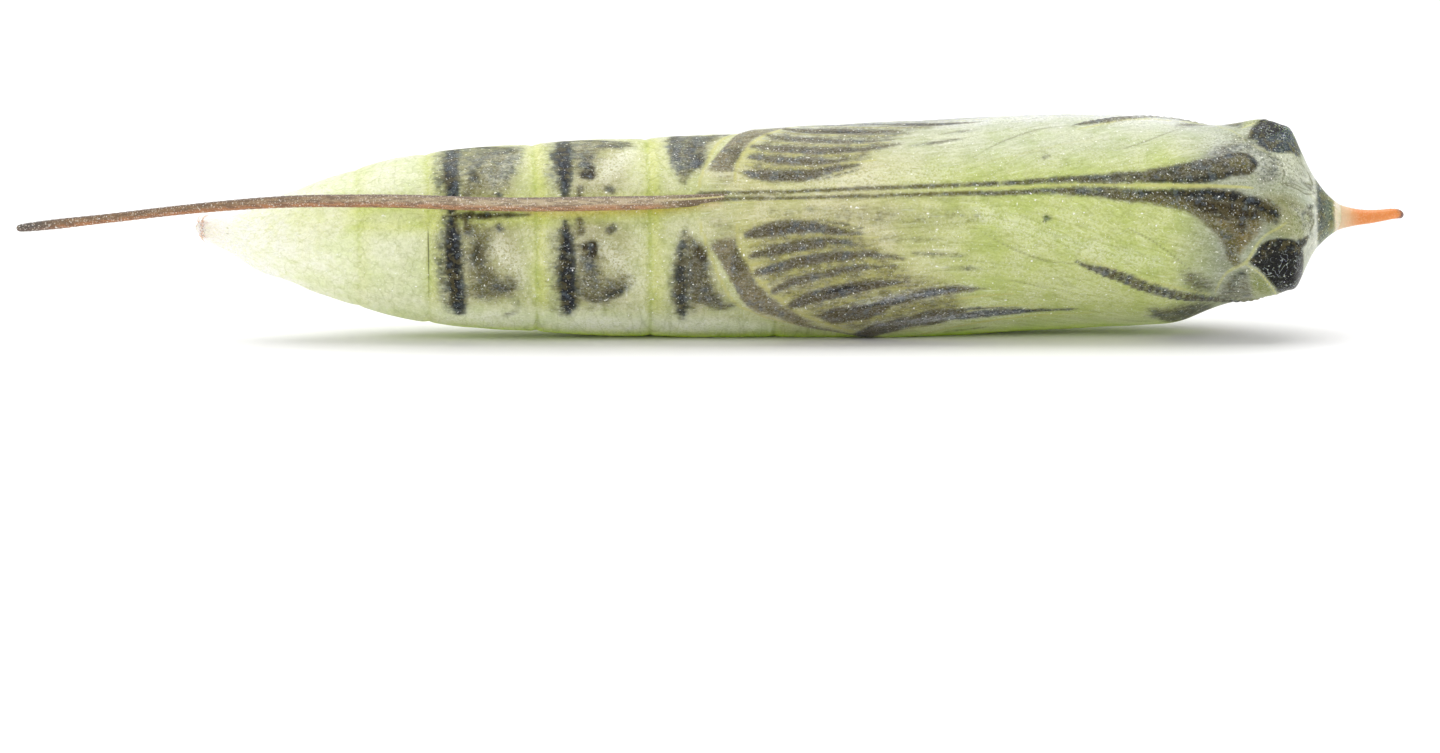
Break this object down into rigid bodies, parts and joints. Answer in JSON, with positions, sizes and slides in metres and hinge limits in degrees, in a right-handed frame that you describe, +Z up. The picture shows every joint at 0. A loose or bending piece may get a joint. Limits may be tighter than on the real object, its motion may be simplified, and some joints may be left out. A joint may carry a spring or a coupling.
{
  "type": "skipper chrysalis",
  "caption": "Pale green butterfly pupa with a ringed abdomen, wing cases, a long free tongue case past the tail and a small brow horn, lying on its side.",
  "frame": {"origin": "centre of the bounding box in X and Y, on the surface that the chrysalis rests on", "axes": "+X towards the head and its brow horn, +Y towards the animal's back, +Z up. It lies on its left side, with its belly facing -Y and turned about 26 degrees upwards"},
  "size_m": [0.0416, 0.0068, 0.0066],
  "materials": {
    "pupal_skin": "satin",
    "tongue_skin": "satin",
    "horn_skin": "satin"
  },
  "bodies": {
    "root": {"chrysalis": "pupal_skin"}
  },
  "joints": []
}
